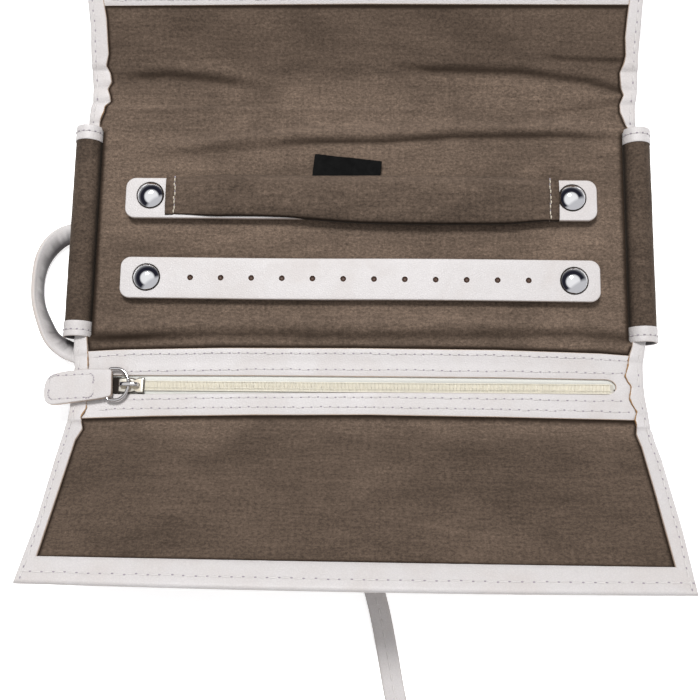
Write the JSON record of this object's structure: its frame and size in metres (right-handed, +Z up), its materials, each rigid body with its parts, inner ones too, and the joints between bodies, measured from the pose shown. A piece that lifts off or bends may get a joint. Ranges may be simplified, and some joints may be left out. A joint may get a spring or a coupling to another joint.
{
  "type": "travel jewelry case",
  "caption": "Fold-up leather and suede travel jewelry case, open: padded base with a ring bar and an earring strap held by press studs, side rails, folding zip-pocket panels and a tie.",
  "frame": {"origin": "on the ground under the middle of the base", "axes": "+X to the right along the creases, +Y towards the back panel, +Z up"},
  "size_m": [0.2866, 0.4191, 0.0585],
  "materials": {
    "suede": "napped taupe suede",
    "cream_leather": "smooth cream leather",
    "chrome": "polished",
    "slider_enamel": "bright with a cream enamelled face",
    "zip_coil": "ivory nylon",
    "zip_tape": "woven ivory cloth",
    "satin": "black satin, blank",
    "board": "fibre board",
    "foam": "soft foam"
  },
  "bodies": {
    "base": {"base_cover": "suede", "base_board": "board", "base_padding": "foam", "base_lining": "suede", "base_corner_bindings": "cream_leather", "left_rail_sleeve": "suede", "left_rail_core": "foam", "left_rail_cuffs": "cream_leather", "right_rail_sleeve": "suede", "right_rail_core": "foam", "right_rail_cuffs": "cream_leather", "snap_studs": "chrome", "care_label": "satin", "tie_anchor": "cream_leather", "tie_strap": "cream_leather"},
    "front_spine": {"front_spine_cover": "suede", "front_spine_bindings": "cream_leather", "front_zip_strip": "cream_leather", "front_zip_tapes": "zip_tape", "front_zip_teeth": "zip_coil", "front_zip_stops": "chrome"},
    "front_slider": {"front_zip_slider": "slider_enamel"},
    "front_ring": {"front_zip_ring": "chrome"},
    "front_tab": {"front_pull_tab": "cream_leather"},
    "front_panel": {"front_cover": "suede", "front_board": "board", "front_pocket_bag": "zip_tape", "front_lining": "suede", "front_binding": "cream_leather"},
    "top_spine": {"top_spine_cover": "suede", "top_spine_padding": "foam", "top_spine_lining": "suede", "top_spine_bindings": "cream_leather"},
    "top_panel": {"top_cover": "suede", "top_board": "board", "top_pocket_bag": "zip_tape", "top_lining": "suede", "top_binding": "cream_leather", "top_zip_strip": "cream_leather", "top_zip_tapes": "zip_tape", "top_zip_teeth": "zip_coil", "top_zip_stops": "chrome"},
    "top_slider": {"top_zip_slider": "slider_enamel"},
    "top_ring": {"top_zip_ring": "chrome"},
    "top_tab": {"top_pull_tab": "cream_leather"},
    "ring_bar": {"ring_bar_strip": "cream_leather", "ring_bar_sleeve": "suede", "ring_bar_padding": "foam", "ring_bar_caps": "chrome", "ring_bar_sockets": "chrome"},
    "earring_strap": {"earring_strap": "cream_leather", "earring_strap_caps": "chrome", "earring_strap_sockets": "chrome"}
  },
  "joints": [
    {"name": "front_spine_fold", "type": "hinge", "parent": "base", "child": "front_spine", "pos_m": [0, -0.053, 0.0094], "axis": [-1, 0, 0], "range_deg": [-5.5, 84.5]},
    {"name": "front_panel_fold", "type": "hinge", "parent": "front_spine", "child": "front_panel", "pos_m": [0, -0.08226, 0.01222], "axis": [-1, 0, 0], "range_deg": [-30, 60]},
    {"name": "top_spine_fold", "type": "hinge", "parent": "base", "child": "top_spine", "pos_m": [0, 0.053, 0.0094], "axis": [1, 0, 0], "range_deg": [-2, 88]},
    {"name": "top_panel_fold", "type": "hinge", "parent": "top_spine", "child": "top_panel", "pos_m": [0, 0.07579, 0.0102], "axis": [1, 0, 0], "range_deg": [-19, 71]},
    {"name": "front_zip_slide", "type": "slide", "parent": "front_spine", "child": "front_slider", "axis": [-1, 0, 0], "range_m": [-0.2, 0]},
    {"name": "front_ring_lift", "type": "hinge", "parent": "front_slider", "child": "front_ring", "pos_m": [-0.1014, -0.06777, 0.01253], "axis": [0, -0.9954, 0.0958], "range_deg": [-100, 0]},
    {"name": "front_tab_lift", "type": "hinge", "parent": "front_ring", "child": "front_tab", "pos_m": [-0.1096, -0.06777, 0.01253], "axis": [0, -0.9954, 0.0958], "range_deg": [-80, 0]},
    {"name": "top_zip_slide", "type": "slide", "parent": "top_panel", "child": "top_slider", "axis": [1, 0, 0], "range_m": [-0.2, 0]},
    {"name": "top_ring_lift", "type": "hinge", "parent": "top_slider", "child": "top_ring", "pos_m": [0.1014, 0.11906, 0.02863], "axis": [0, 0.9336, 0.3584], "range_deg": [-100, 0]},
    {"name": "top_tab_lift", "type": "hinge", "parent": "top_ring", "child": "top_tab", "pos_m": [0.1096, 0.11906, 0.02863], "axis": [0, 0.9336, 0.3584], "range_deg": [-80, 0]},
    {"name": "ring_bar_unsnap", "type": "slide", "parent": "base", "child": "ring_bar", "axis": [0, 0, -1], "range_m": [-0.02, 0]},
    {"name": "earring_strap_unsnap", "type": "slide", "parent": "base", "child": "earring_strap", "axis": [0, 0, -1], "range_m": [-0.02, 0]}
  ]
}
